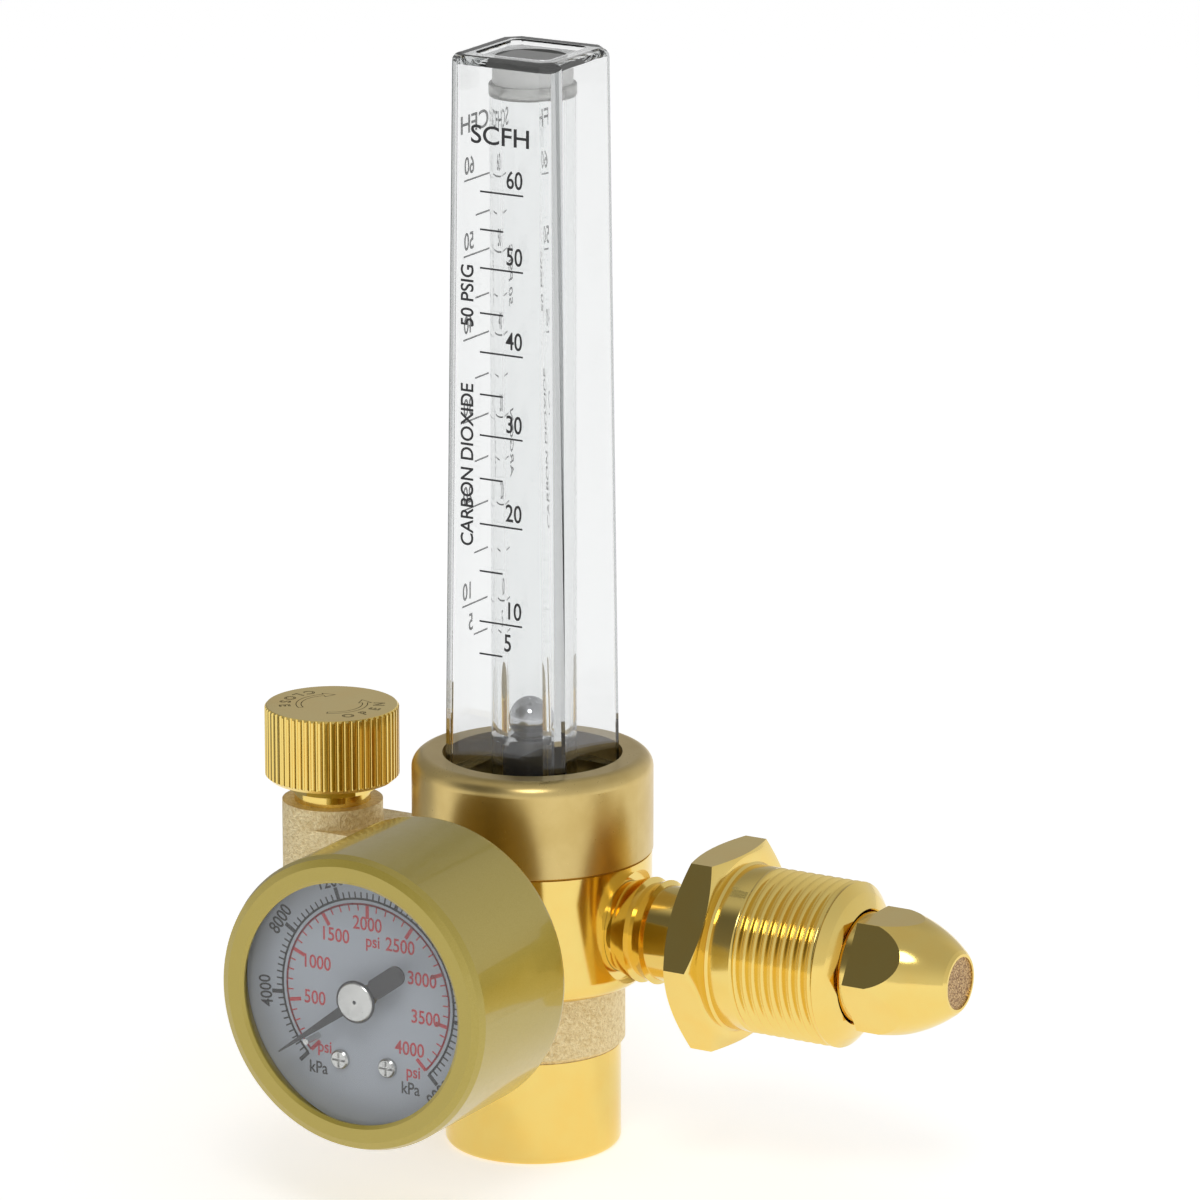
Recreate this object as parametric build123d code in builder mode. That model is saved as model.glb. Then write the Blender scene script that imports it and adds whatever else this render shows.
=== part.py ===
"""Carbon dioxide regulator with a ball flow meter, as an assembly of separate pieces.

Frame: millimetres, +Z up along the flow tube, +X along the cylinder inlet, and the gauge faces -Y.
The origin is on the flow tube's axis, on the underside of the bottom bonnet.
"""

import os
from math import atan2, cos, degrees, hypot, radians, sin, sqrt

from build123d import *

os.makedirs("parts", exist_ok=True)

# ---------------------------------------------------------------- driving dimensions
RUN_GAP = 0.05  # radial clearance of every fit that turns, slides or screws

# body casting
MAIN_R = 17.8
MAIN_Z0 = 26.0
MAIN_Z1 = 45.5
RING_R = 13.8
RING_Z0 = 15.8
NECK_R = 16.0
NECK_Z1 = 53.0
TOP_BORE_R = 12.4
TOP_FLOOR_Z = 44.0
VALVE_X = -35.0
COLUMN_R = 7.6
COLUMN_Z0 = 12.0
COLUMN_Z1 = 48.0
ARM_Z0 = 27.0
ARM_Z1 = 45.0
OUTLET_Z = 24.0
OUTLET_BOSS_R = 9.0
OUTLET_FACE_Y = 9.2
OUTLET_THREAD_R = 7.94
OUTLET_THREAD_Y = 18.6

# regulator underneath
SPIGOT_R = 12.0
SPIGOT_Z = 20.6
BONNET_R = 13.2
PISTON_R = 10.3
STEM_R = 4.0
OUTLET_CHAMBER_R = 6.0
OUTLET_CHAMBER_Z0 = 25.5
OUTLET_CHAMBER_Z1 = 30.0
NOZZLE_Z = 29.2
SPRING_COIL_R = 6.3
SPRING_WIRE_R = 0.9

# flow meter
COLLAR_R = 17.95
COLLAR_Z1 = 60.4
COLLAR_LIP_Z = 57.0
COLLAR_HOLE_R = 13.36
COVER_HALF_BASE = 10.28
COVER_HALF_TOP = 9.2
COVER_TOP_Z = 166.05
COVER_TAPER_Z0 = 56.9
COVER_CHAMFER = 2.4
COVER_WALL = 1.7
COVER_INNER_CHAMFER = 0.3
FLANGE_R = 15.7
TUBE_R = 5.7
TUBE_Z0 = 47.3
TUBE_Z1 = 159.5
TUBE_SEAT_BORE_R = 4.15
TUBE_BORE_R0 = 3.35
TUBE_BORE_R1 = 4.1
TUBE_STEP_Z = 63.6
PLUG_R = 5.3
PLUG_Z0 = 161.4
PLUG_Z1 = 164.5
BALL_R = 3.175
BALL_Z = 66.0
SEAT_R = 4.0

# flow valve
GLAND_FLAT = 12.7
GLAND_Z0 = 48.0
GLAND_HEX_Z = 49.5
GLAND_Z1 = 51.0
GLAND_THREAD_R = 5.0
NEEDLE_R = 2.0
KNOB_R = 10.12
KNOB_Z0 = 51.3
KNOB_Z1 = 62.7
KNOB_FLUTES = 60

# outlet fittings
COUPLING_FLAT = 22.2
COUPLING_LENGTH = 27.0
COUPLING_R = 10.9
BARB_FLAT = 19.05
BARB_HEX = 9.5
BARB_COLLAR_R = 6.75
BARB_NOSE_R = 5.5
BARB_TAIL_R = 3.7
BARB_CREST_R = 3.6
BARB_BORE_R = 2.0

# cylinder inlet
INLET_Z = 35.86
SHANK_R = 7.1
NUT_HEX_X0 = 30.4
NUT_HEX_X1 = 36.4
NUT_FLAT = 28.3
NUT_THREAD_R = 12.25
NUT_THREAD_X0 = 40.2
NUT_THREAD_X1 = 53.9
NUT_END_X = 56.1
NUT_PITCH = 1.53
NOSE_R = 9.5
NOSE_NECK_R = 8.2
NOSE_HEX_X = 57.4
NOSE_ROUND_X = 61.0
NOSE_BACK_X = 46.0
NOSE_FLAT = 16.5
NOSE_TIP_X = 71.8
FILTER_R = 4.1

# pressure gauge
GAUGE_Z = 35.38
CASE_R = 22.06
CASE_FRONT_Y = -51.9
CASE_BACK_Y = -27.2
CASE_WALL = 1.2
WINDOW_R = 18.05
BEZEL_BACK_Y = -49.4
LENS_Y = -51.2
LENS_THICK = 1.1
DIAL_Y = -46.2
DIAL_THICK = 0.5
DIAL_R = 20.6
POINTER_Y = -49.2
POINTER_ZERO = 216.2  # degrees, seen from the front, counter-clockwise from +X
POINTER_TIP = 16.4
POINTER_TAIL = 9.7
TAIL_HALF = 1.5
PINION_TEETH = 12
SECTOR_TEETH = 72  # a full circle's worth; only one arc of them exists
TOOTH_MODULE = 0.3
SECTOR_ARC = 66.0
SECTOR_AIM = 120.0  # direction from the sector's pivot to the pinion, degrees


# ---------------------------------------------------------------- helpers
def save(builder, name):
    """Label a finished piece and write its STEP file."""
    builder.part.label = name
    export_step(builder.part, f"parts/{name}.step")


def along_x(x, y=0.0, z=0.0):
    """Plane whose normal is +X, with its sketch X along +Y and its sketch Y along +Z."""
    return Plane(origin=(x, y, z), x_dir=(0, 1, 0), z_dir=(1, 0, 0))


def along_y(y, x=0.0, z=0.0):
    """Plane whose normal is +Y, with its sketch X along +Z and its sketch Y along +X."""
    return Plane(origin=(x, y, z), x_dir=(0, 0, 1), z_dir=(0, 1, 0))


def across(y, x=0.0, z=0.0):
    """Plane seen from the front: sketch X is +X, sketch Y is +Z and the normal is -Y."""
    return Plane(origin=(x, y, z), x_dir=(1, 0, 0), z_dir=(0, -1, 0))


def cylinder(plane, radius, length, mode=Mode.ADD):
    """Round bar or hole that starts on a plane and runs along its normal."""
    with BuildSketch(plane) as disc:
        Circle(radius)
    extrude(disc.sketch, amount=length, mode=mode)


def tube(plane, outer, inner, length, mode=Mode.ADD):
    """Ring that starts on a plane and runs along its normal."""
    with BuildSketch(plane) as ring:
        Circle(outer)
        Circle(inner, mode=Mode.SUBTRACT)
    extrude(ring.sketch, amount=length, mode=mode)


def turned(plane, outline, axis, mode=Mode.ADD):
    """Solid of revolution of a closed outline of (radius, station) points."""
    with BuildSketch(plane) as section:
        with BuildLine():
            Polyline(*outline, close=True)
        make_face()
    revolve(section.sketch, axis=axis, mode=mode)


def hexagon(plane, flat, length, turn=0.0, mode=Mode.ADD):
    """Hexagonal bar, flat size across flats, that starts on a plane."""
    with BuildSketch(plane) as six:
        RegularPolygon(flat / 2, 6, major_radius=False, rotation=turn)
    extrude(six.sketch, amount=length, mode=mode)


def octagon_points(half, chamfer):
    """Corners of a square of half size `half` whose corners are cut by `chamfer`."""
    near = half - chamfer
    quarter = [(half, -near), (half, near)]
    points = []
    for turn in range(4):
        for px, py in quarter:
            for _ in range(turn):
                px, py = -py, px
            points.append((px, py))
    return points


def cover_section(z, half, chamfer):
    """Square face with cut corners at height z, for a loft."""
    with BuildSketch(Plane.XY.offset(z)) as section:
        with BuildLine():
            Polyline(*octagon_points(half, chamfer), close=True)
        make_face()
    return section.sketch.face()


def thread_grooves(start, end, pitch):
    """Stations of the thread's grooves, spaced by its pitch."""
    count = int((end - start) / pitch)
    return [start + pitch * (index + 0.5) for index in range(count)]


X_INLET = Axis((0, 0, INLET_Z), (1, 0, 0))
Y_OUTLET = Axis((VALVE_X, 0, OUTLET_Z), (0, 1, 0))
Y_GAUGE = Axis((0, 0, GAUGE_Z), (0, 1, 0))
Z_VALVE = Axis((VALVE_X, 0, 0), (0, 0, 1))
# outlines of turned pieces are drawn in these planes as (radius, station) pairs
XZ_UP = Plane(origin=(0, 0, 0), x_dir=(1, 0, 0), z_dir=(0, -1, 0))
XZ_VALVE = Plane(origin=(VALVE_X, 0, 0), x_dir=(1, 0, 0), z_dir=(0, -1, 0))
INLET_TURN = Plane(origin=(0, 0, INLET_Z), x_dir=(0, 0, 1), z_dir=(0, 1, 0))
OUTLET_TURN = Plane(origin=(VALVE_X, 0, OUTLET_Z), x_dir=(1, 0, 0), z_dir=(0, 0, 1))
GAUGE_TURN = Plane(origin=(0, 0, GAUGE_Z), x_dir=(1, 0, 0), z_dir=(0, 0, 1))

# ---------------------------------------------------------------- body casting
with BuildPart() as body:
    cylinder(Plane.XY.offset(MAIN_Z0), MAIN_R, MAIN_Z1 - MAIN_Z0)
    fillet(body.edges().group_by(Axis.Z)[0], 3.0)
    cylinder(Plane.XY.offset(RING_Z0), RING_R, MAIN_Z0 - RING_Z0 + 1)
    chamfer(body.edges().group_by(Axis.Z)[0], 0.7)
    cylinder(Plane.XY.offset(MAIN_Z1), NECK_R, NECK_Z1 - MAIN_Z1)
    # valve column, its arm and the outlet boss
    with BuildSketch(Plane(origin=(VALVE_X, 0, COLUMN_Z0))):
        Circle(COLUMN_R)
    extrude(amount=COLUMN_Z1 - COLUMN_Z0)
    with BuildSketch(Plane.XY.offset(ARM_Z0)):
        with Locations((VALVE_X / 2, 0)):
            Rectangle(-VALVE_X, 2 * COLUMN_R)
    extrude(amount=ARM_Z1 - ARM_Z0)
    fillet(body.edges().filter_by(GeomType.CIRCLE).group_by(Axis.Z)[0], 2.0)
    cylinder(along_y(0, VALVE_X, OUTLET_Z), OUTLET_BOSS_R, OUTLET_FACE_Y)
    cylinder(along_y(OUTLET_FACE_Y, VALVE_X, OUTLET_Z), OUTLET_THREAD_R, OUTLET_THREAD_Y - OUTLET_FACE_Y)
    for station in thread_grooves(OUTLET_FACE_Y + 0.6, OUTLET_THREAD_Y - 0.4, 1.41):
        groove = [
            (OUTLET_THREAD_R + 0.1, station - 0.5),
            (OUTLET_THREAD_R - 0.7, station),
            (OUTLET_THREAD_R + 0.1, station + 0.5),
        ]
        turned(OUTLET_TURN, groove, Y_OUTLET, Mode.SUBTRACT)
    # top chamber, neck groove for the cover's seal
    cylinder(Plane.XY.offset(TOP_FLOOR_Z), TOP_BORE_R, NECK_Z1 - TOP_FLOOR_Z, Mode.SUBTRACT)
    cylinder(Plane.XY.offset(TOP_FLOOR_Z - 1), OUTLET_CHAMBER_R, 1, Mode.SUBTRACT)
    tube(Plane.XY.offset(NECK_Z1 - 1.2), 15.2, 13.6, 1.2, Mode.SUBTRACT)
    # piston spigot, stem guide, low-pressure chamber and nozzle
    cylinder(Plane.XY.offset(RING_Z0), SPIGOT_R, SPIGOT_Z - RING_Z0, Mode.SUBTRACT)
    cylinder(Plane.XY.offset(SPIGOT_Z), STEM_R + RUN_GAP, 5, Mode.SUBTRACT)
    chamber_height = OUTLET_CHAMBER_Z1 - OUTLET_CHAMBER_Z0
    tube(Plane.XY.offset(OUTLET_CHAMBER_Z0), OUTLET_CHAMBER_R, 2.0, chamber_height, Mode.SUBTRACT)
    nozzle_gap = NOZZLE_Z - OUTLET_CHAMBER_Z0
    cylinder(Plane.XY.offset(OUTLET_CHAMBER_Z0), 2.1, nozzle_gap, Mode.SUBTRACT)
    cylinder(Plane.XY.offset(NOZZLE_Z), 0.8, INLET_Z - NOZZLE_Z, Mode.SUBTRACT)
    # gas passages: up to the ball seat, and back from the cover to the valve
    with BuildSketch(Plane.XY.offset(OUTLET_CHAMBER_Z1 - 0.5)):
        with Locations((-4, 4)):
            Circle(1.2)
    extrude(amount=TOP_FLOOR_Z - OUTLET_CHAMBER_Z1, mode=Mode.SUBTRACT)
    with BuildSketch(Plane.XY.offset(37)):
        with Locations((-10.5, 0)):
            Circle(1.4)
    extrude(amount=8, mode=Mode.SUBTRACT)
    cylinder(along_x(VALVE_X, 0, 38), 1.4, 25, Mode.SUBTRACT)
    # valve column bores
    valve_bores = ((5.0 + RUN_GAP, 40, 8.5), (3.0, 31, 9.5), (1.3, OUTLET_Z, 8))
    for radius, start, length in valve_bores:
        cylinder(Plane(origin=(VALVE_X, 0, start)), radius, length, Mode.SUBTRACT)
    cylinder(along_y(-2, VALVE_X, OUTLET_Z), BARB_NOSE_R + RUN_GAP, OUTLET_THREAD_Y + 2, Mode.SUBTRACT)
    # inlet bore with its countersink, and the gauge port
    cylinder(along_x(0, 0, INLET_Z), 2.6, 10, Mode.SUBTRACT)
    cylinder(along_x(7.5, 0, INLET_Z), 6.8 + RUN_GAP, 12, Mode.SUBTRACT)
    sink = [(6.8, 16.2), (6.8, 18.5), (8.9, 18.5), (8.1, 16.2)]
    turned(INLET_TURN, sink, X_INLET, Mode.SUBTRACT)
    cylinder(across(0, 0, GAUGE_Z), 2.0, 12, Mode.SUBTRACT)
    cylinder(across(-9.5, 0, GAUGE_Z), 6.5 + RUN_GAP, 10, Mode.SUBTRACT)
save(body, "body")

# ---------------------------------------------------------------- regulator stage
with BuildPart() as bottom_bonnet:
    cylinder(Plane.XY, BONNET_R, RING_Z0)
    fillet(bottom_bonnet.edges().group_by(Axis.Z)[0], 1.2)
    cylinder(Plane.XY.offset(RING_Z0), SPIGOT_R - RUN_GAP, SPIGOT_Z - RING_Z0 - 0.1)
    cylinder(Plane.XY.offset(1.8), PISTON_R + RUN_GAP, SPIGOT_Z, Mode.SUBTRACT)
save(bottom_bonnet, "bottom_bonnet")

with BuildPart() as piston:
    cylinder(Plane.XY.offset(5), PISTON_R, 4)
    tube(Plane.XY.offset(6.2), PISTON_R, 9.0, 1.6, Mode.SUBTRACT)
    cylinder(Plane.XY.offset(9), STEM_R, 18.6)
    tube(Plane.XY.offset(22.4), STEM_R, 3.0, 1.2, Mode.SUBTRACT)
    cylinder(Plane.XY.offset(5), 1.0, 20.3, Mode.SUBTRACT)
    cylinder(along_x(-STEM_R, 0, 25.0), 0.6, 2 * STEM_R, Mode.SUBTRACT)
    cylinder(Plane.XY.offset(26.2), 2.6, 1.4, Mode.SUBTRACT)
save(piston, "piston")

with BuildPart() as piston_o_ring:
    tube(Plane.XY.offset(6.3), PISTON_R, 9.0, 1.4)
    fillet(piston_o_ring.edges(), 0.3)
save(piston_o_ring, "piston_o_ring")

with BuildPart() as stem_o_ring:
    tube(Plane.XY.offset(22.5), STEM_R, 3.0, 1.0)
    fillet(stem_o_ring.edges(), 0.25)
save(stem_o_ring, "stem_o_ring")

with BuildPart() as valve_seat:
    cylinder(Plane.XY.offset(26.2), 2.6, 1.4)
    cylinder(Plane.XY.offset(27.6), 1.9, 0.6)
save(valve_seat, "valve_seat")

with BuildPart() as regulating_spring:
    spring_low = 9 + SPRING_WIRE_R
    spring_rise = SPIGOT_Z - 9 - 2 * SPRING_WIRE_R
    with BuildLine(Plane.XY.offset(spring_low)) as coil:
        Helix(pitch=spring_rise / 4, height=spring_rise, radius=SPRING_COIL_R)
    with BuildSketch(Plane(origin=coil.line @ 0, z_dir=coil.line % 0)):
        Circle(SPRING_WIRE_R - 0.02)
    sweep()
save(regulating_spring, "regulating_spring")

# ---------------------------------------------------------------- flow meter
with BuildPart() as tube_collar:
    cylinder(Plane.XY.offset(MAIN_Z1), COLLAR_R, COLLAR_Z1 - MAIN_Z1)
    fillet(tube_collar.edges().group_by(Axis.Z)[-1], 2.2)
    chamfer(tube_collar.edges().group_by(Axis.Z)[0], 0.4)
    cylinder(Plane.XY.offset(MAIN_Z1), NECK_R + RUN_GAP, COLLAR_LIP_Z - MAIN_Z1, Mode.SUBTRACT)
    cylinder(Plane.XY.offset(COLLAR_LIP_Z), COLLAR_HOLE_R, 5, Mode.SUBTRACT)
save(tube_collar, "tube_collar")

with BuildPart() as cover_o_ring:
    tube(Plane.XY.offset(NECK_Z1 - 1.2), 15.15, 13.65, 1.2)
    fillet(cover_o_ring.edges(), 0.4)
save(cover_o_ring, "cover_o_ring")

with BuildPart() as tube_cover:
    # the tapered square cap, then its round flange under the collar
    cover_base = cover_section(COVER_TAPER_Z0, COVER_HALF_BASE, COVER_CHAMFER)
    cover_top = cover_section(COVER_TOP_Z, COVER_HALF_TOP, COVER_CHAMFER)
    loft([cover_base, cover_top])
    fillet(tube_cover.edges().group_by(Axis.Z)[-1], 1.3)
    cylinder(Plane.XY.offset(NECK_Z1), FLANGE_R, COLLAR_LIP_Z - NECK_Z1)
    with BuildPart(mode=Mode.PRIVATE) as cover_hollow:
        hollow_base = cover_section(NECK_Z1, COVER_HALF_BASE - COVER_WALL, COVER_INNER_CHAMFER)
        hollow_top = cover_section(PLUG_Z1, COVER_HALF_TOP - COVER_WALL, COVER_INNER_CHAMFER)
        loft([hollow_base, hollow_top])
    add(cover_hollow.part, mode=Mode.SUBTRACT)
    with BuildSketch(Plane.XY.offset(COVER_TOP_Z - 0.8)):
        RectangleRounded(12.4, 12.4, 1.5)
    extrude(amount=2, mode=Mode.SUBTRACT)
save(tube_cover, "tube_cover")

with BuildPart() as metering_tube:
    bore = [
        (TUBE_SEAT_BORE_R, TUBE_Z0),
        (TUBE_R, TUBE_Z0),
        (TUBE_R, TUBE_Z1),
        (TUBE_BORE_R1, TUBE_Z1),
        (TUBE_BORE_R0, TUBE_STEP_Z),
        (TUBE_SEAT_BORE_R, TUBE_STEP_Z - 1.2),
    ]
    turned(XZ_UP, bore, Axis.Z)
save(metering_tube, "metering_tube")

with BuildPart() as float_ball:
    with Locations((0, 0, BALL_Z)):
        Sphere(BALL_R)
save(float_ball, "float_ball")

# the ball rests on the edge of the seat's central hole
SEAT_TOP_Z = 63.2
SEAT_HOLE_R = sqrt(BALL_R**2 - (BALL_Z - SEAT_TOP_Z) ** 2) - 0.03
with BuildPart() as ball_seat:
    profile = [
        (1.1, TOP_FLOOR_Z),
        (TOP_BORE_R - RUN_GAP, TOP_FLOOR_Z),
        (TOP_BORE_R - RUN_GAP, TOP_FLOOR_Z + 2.4),
        (SEAT_R, TOP_FLOOR_Z + 2.4),
        (SEAT_R, SEAT_TOP_Z - 2.2),
        (2.9, SEAT_TOP_Z),
        (SEAT_HOLE_R, SEAT_TOP_Z),
        (1.1, SEAT_TOP_Z - 0.6),
    ]
    turned(XZ_UP, profile, Axis.Z)
    with BuildSketch(Plane.XY.offset(TOP_FLOOR_Z)):
        with Locations((-10.5, 0), (10.5, 0)):
            Circle(1.4)
    extrude(amount=2.4, mode=Mode.SUBTRACT)
save(ball_seat, "ball_seat")

with BuildPart() as tube_gasket:
    tube(Plane.XY.offset(TOP_FLOOR_Z + 2.4), TUBE_R, SEAT_R + RUN_GAP, TUBE_Z0 - TOP_FLOOR_Z - 2.4)
save(tube_gasket, "tube_gasket")

with BuildPart() as tube_top_seal:
    tube(Plane.XY.offset(TUBE_Z1), TUBE_R + 0.15, 4.5, PLUG_Z0 - TUBE_Z1)
    fillet(tube_top_seal.edges(), 0.3)
save(tube_top_seal, "tube_top_seal")

with BuildPart() as tube_plug:
    cylinder(Plane.XY.offset(PLUG_Z0), PLUG_R, PLUG_Z1 - PLUG_Z0)
    cylinder(Plane.XY.offset(PLUG_Z0), 2.6, 2.5, Mode.SUBTRACT)
    cylinder(along_y(0, 0, PLUG_Z0 + 1.3), 0.7, PLUG_R + 1, Mode.SUBTRACT)
save(tube_plug, "tube_plug")

# ---------------------------------------------------------------- flow valve
with BuildPart() as valve_gland:
    cylinder(Plane(origin=(VALVE_X, 0, 42)), GLAND_THREAD_R, GLAND_Z0 - 42)
    cylinder(Plane(origin=(VALVE_X, 0, GLAND_Z0)), 5.8, GLAND_HEX_Z - GLAND_Z0)
    with BuildPart(mode=Mode.PRIVATE) as gland_hex:
        hexagon(Plane(origin=(VALVE_X, 0, GLAND_HEX_Z)), GLAND_FLAT, GLAND_Z1 - GLAND_HEX_Z, 30)
        rim = [(0, 49), (5.8, GLAND_HEX_Z), (7.4, GLAND_HEX_Z + 0.6), (7.4, 52), (0, 52)]
        turned(XZ_VALVE, rim, Z_VALVE, Mode.INTERSECT)
    add(gland_hex.part)
    cylinder(Plane(origin=(VALVE_X, 0, 41)), NEEDLE_R + RUN_GAP, 12, Mode.SUBTRACT)
save(valve_gland, "valve_gland")

with BuildPart() as stem_packing:
    tube(Plane(origin=(VALVE_X, 0, 40)), GLAND_THREAD_R, NEEDLE_R + RUN_GAP, 2.0)
save(stem_packing, "stem_packing")

with BuildPart() as needle:
    needle_shape = [
        (0, 29.6),
        (0.35, 29.6),
        (1.25, 31.9),
        (NEEDLE_R, 32.6),
        (NEEDLE_R, 60.0),
        (0, 60.0),
    ]
    turned(XZ_VALVE, needle_shape, Z_VALVE)
save(needle, "needle")

with BuildPart() as knob:
    with BuildSketch(Plane(origin=(VALVE_X, 0, KNOB_Z0))):
        Circle(KNOB_R)
    extrude(amount=KNOB_Z1 - KNOB_Z0)
    chamfer(knob.edges().group_by(Axis.Z)[0], 0.7)
    chamfer(knob.edges().group_by(Axis.Z)[-1], 0.3)
    with BuildSketch(Plane(origin=(VALVE_X, 0, KNOB_Z0 - 1))):
        with PolarLocations(KNOB_R + 0.12, KNOB_FLUTES):
            Circle(0.38)
    extrude(amount=KNOB_Z1 - KNOB_Z0 + 2, mode=Mode.SUBTRACT)
    cylinder(Plane(origin=(VALVE_X, 0, KNOB_Z0)), NEEDLE_R + RUN_GAP, 8.8, Mode.SUBTRACT)
save(knob, "knob")

# ---------------------------------------------------------------- outlet fittings
COUPLING_Y0 = OUTLET_FACE_Y + 0.3
COUPLING_Y1 = COUPLING_Y0 + COUPLING_LENGTH
with BuildPart() as outlet_coupling:
    cylinder(along_y(COUPLING_Y0, VALVE_X, OUTLET_Z), COUPLING_R, COUPLING_LENGTH)
    chamfer(outlet_coupling.edges().group_by(Axis.Y)[0], 0.5)
    chamfer(outlet_coupling.edges().group_by(Axis.Y)[-1], 0.6)
    with BuildPart(mode=Mode.PRIVATE) as coupling_hex:
        hexagon(along_y(COUPLING_Y1 - 11.5, VALVE_X, OUTLET_Z), COUPLING_FLAT, 7.5)
        hex_rim = [
            (0, COUPLING_Y1 - 11.5),
            (11.2, COUPLING_Y1 - 11.5),
            (12.9, COUPLING_Y1 - 10.6),
            (12.9, COUPLING_Y1 - 4.9),
            (11.2, COUPLING_Y1 - 4.0),
            (0, COUPLING_Y1 - 4.0),
        ]
        turned(OUTLET_TURN, hex_rim, Y_OUTLET, Mode.INTERSECT)
    add(coupling_hex.part)
    bore_length = COUPLING_LENGTH + 2
    bore_radius = OUTLET_THREAD_R + RUN_GAP
    cylinder(along_y(COUPLING_Y0 - 1, VALVE_X, OUTLET_Z), bore_radius, bore_length, Mode.SUBTRACT)
save(outlet_coupling, "outlet_coupling")

with BuildPart() as hose_barb:
    hexagon(along_y(COUPLING_Y1, VALVE_X, OUTLET_Z), BARB_FLAT, BARB_HEX)
    rim_low = COUPLING_Y1
    rim_high = COUPLING_Y1 + BARB_HEX
    barb_rim = [
        (0, rim_low),
        (9.6, rim_low),
        (11.1, rim_low + 0.8),
        (11.1, rim_high - 0.8),
        (9.6, rim_high),
        (0, rim_high),
    ]
    turned(OUTLET_TURN, barb_rim, Y_OUTLET, Mode.INTERSECT)
    tail = [
        (0, rim_low - 24.0),
        (BARB_NOSE_R - 1.6, rim_low - 24.0),
        (BARB_NOSE_R, rim_low - 22.4),
        (BARB_NOSE_R, rim_low - 16.2),
        (BARB_COLLAR_R, rim_low - 15.4),
        (BARB_COLLAR_R, rim_low - 13.2),
        (OUTLET_THREAD_R, rim_low - 12.4),
        (OUTLET_THREAD_R, rim_low - 1.6),
        (BARB_COLLAR_R, rim_low - 1.0),
        (BARB_COLLAR_R, rim_high),
        (BARB_TAIL_R, rim_high + 0.4),
        (BARB_TAIL_R, rim_high + 6.4),
        (2.7, rim_high + 10.2),
        (BARB_CREST_R, rim_high + 10.6),
        (2.65, rim_high + 15.2),
        (BARB_CREST_R, rim_high + 16.2),
        (2.65, rim_high + 21.6),
        (0, rim_high + 21.6),
    ]
    turned(OUTLET_TURN, tail, Y_OUTLET)
    for station in thread_grooves(rim_low - 12.2, rim_low - 1.6, 1.41):
        groove = [
            (OUTLET_THREAD_R + 0.1, station - 0.5),
            (OUTLET_THREAD_R - 0.7, station),
            (OUTLET_THREAD_R + 0.1, station + 0.5),
        ]
        turned(OUTLET_TURN, groove, Y_OUTLET, Mode.SUBTRACT)
    cylinder(along_y(rim_low - 25, VALVE_X, OUTLET_Z), BARB_BORE_R, 60, Mode.SUBTRACT)
save(hose_barb, "hose_barb")

# ---------------------------------------------------------------- cylinder inlet
with BuildPart() as inlet_nipple:
    with BuildSketch(INLET_TURN) as nipple_section:
        with BuildLine():
            Polyline(
                (0, 7.6),
                (6.6, 7.6),
                (6.8, 8.4),
                (6.8, 17.2),
                (7.1, 17.4),
                (7.9, 20.0),
                (7.1, 20.4),
                (7.8, 22.6),
                (SHANK_R, 23.0),
                (SHANK_R, NOSE_BACK_X),
                (NOSE_NECK_R, NOSE_BACK_X),
                (NOSE_NECK_R, NOSE_HEX_X),
                (NOSE_R, NOSE_HEX_X),
                (NOSE_R, NOSE_ROUND_X),
            )
            ThreePointArc((NOSE_R, NOSE_ROUND_X), (7.9, 66.4), (4.8, NOSE_TIP_X - 0.4))
            Polyline((4.8, NOSE_TIP_X - 0.4), (4.3, NOSE_TIP_X), (0, NOSE_TIP_X), (0, 7.6))
        make_face()
    revolve(nipple_section.sketch, axis=X_INLET)
    # wrench flats on the rear of the nose
    with BuildPart(mode=Mode.PRIVATE) as flat_cutter:
        cylinder(along_x(NOSE_HEX_X, 0, INLET_Z), 12, 9.0)
        hexagon(along_x(NOSE_HEX_X, 0, INLET_Z), NOSE_FLAT, 9.0, 0, Mode.SUBTRACT)
    add(flat_cutter.part, mode=Mode.SUBTRACT)
    cylinder(along_x(7, 0, INLET_Z), 2.0, 70, Mode.SUBTRACT)
    cylinder(along_x(NOSE_TIP_X - 3, 0, INLET_Z), FILTER_R - 0.2, 4, Mode.SUBTRACT)
save(inlet_nipple, "inlet_nipple")

with BuildPart() as inlet_filter:
    cylinder(along_x(NOSE_TIP_X - 3, 0, INLET_Z), FILTER_R - 0.2, 2.8)
save(inlet_filter, "inlet_filter")

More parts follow.
